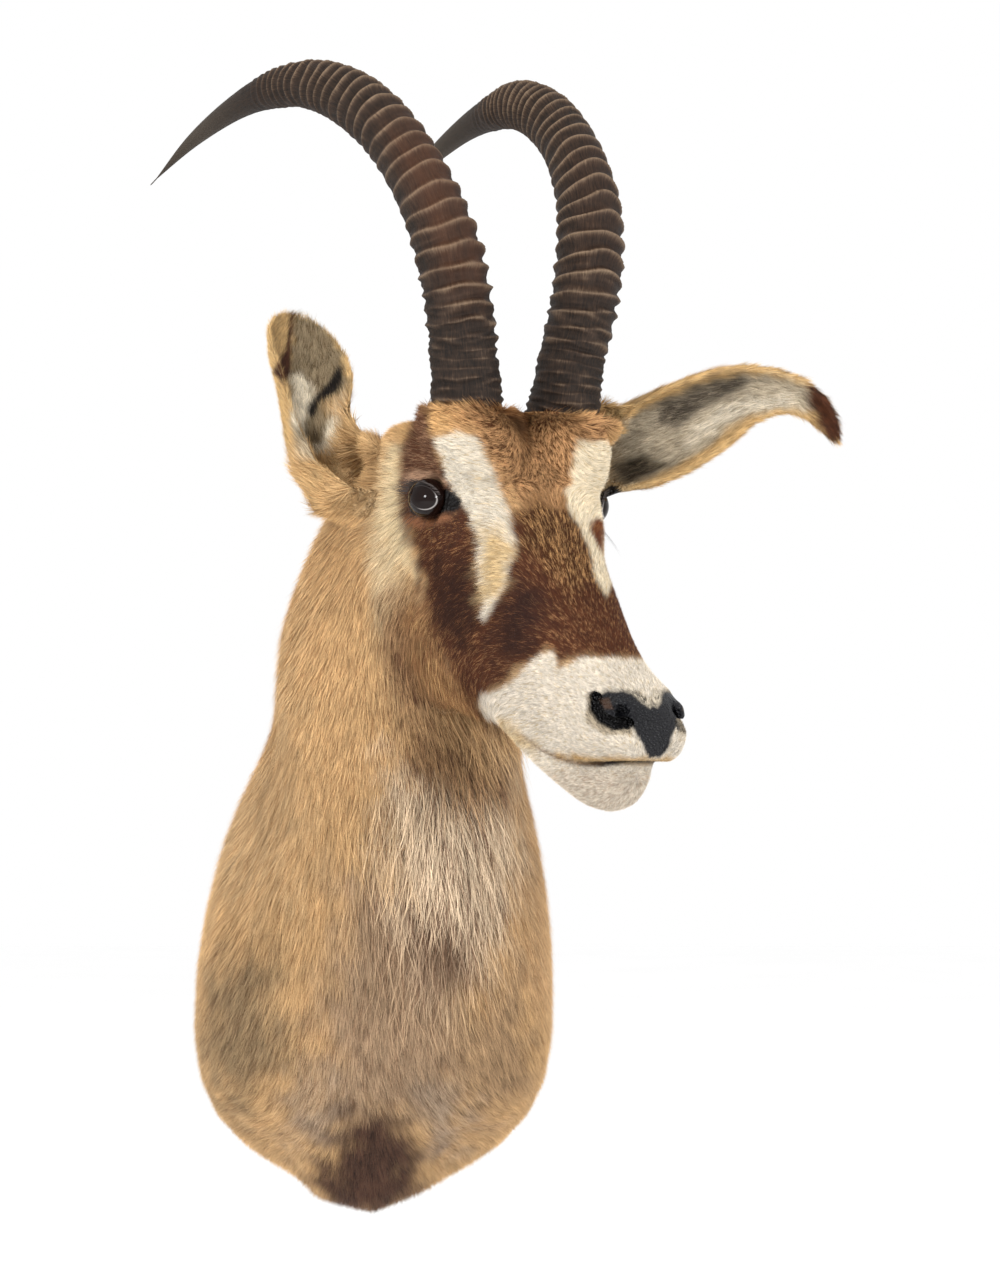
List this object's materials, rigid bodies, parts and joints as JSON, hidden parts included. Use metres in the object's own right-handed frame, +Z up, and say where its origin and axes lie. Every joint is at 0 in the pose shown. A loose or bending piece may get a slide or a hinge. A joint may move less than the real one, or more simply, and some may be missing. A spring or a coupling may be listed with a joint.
{
  "type": "roan antelope shoulder mount",
  "caption": "Wall-hung taxidermy shoulder mount of a roan antelope: head turned to its left, neck, shoulders and ears in one hide, ringed curved horns, glass eyes, wooden backboard.",
  "frame": {"origin": "middle of the backboard on the plane of the wall", "axes": "+Z up, +Y into the wall, -Y the way the chest faces, +X the animal's left, towards which the head is turned"},
  "size_m": [0.7222, 0.7213, 1.2074],
  "materials": {
    "hide": "short tan hair, with a dark brown and white face mask",
    "horn": "dark brown ringed keratin, satin, worn paler on the ridges",
    "eye": "clear polished glass over a very dark brown iris",
    "board": "sanded plywood",
    "steel": "zinc plated"
  },
  "bodies": {
    "root": {"hide": "hide", "horn_right": "horn", "horn_left": "horn", "eye_right": "eye", "eye_left": "eye", "backboard": "board", "hanger_plate": "steel", "hanger_screw_lower": "steel", "hanger_screw_upper": "steel"}
  },
  "joints": []
}
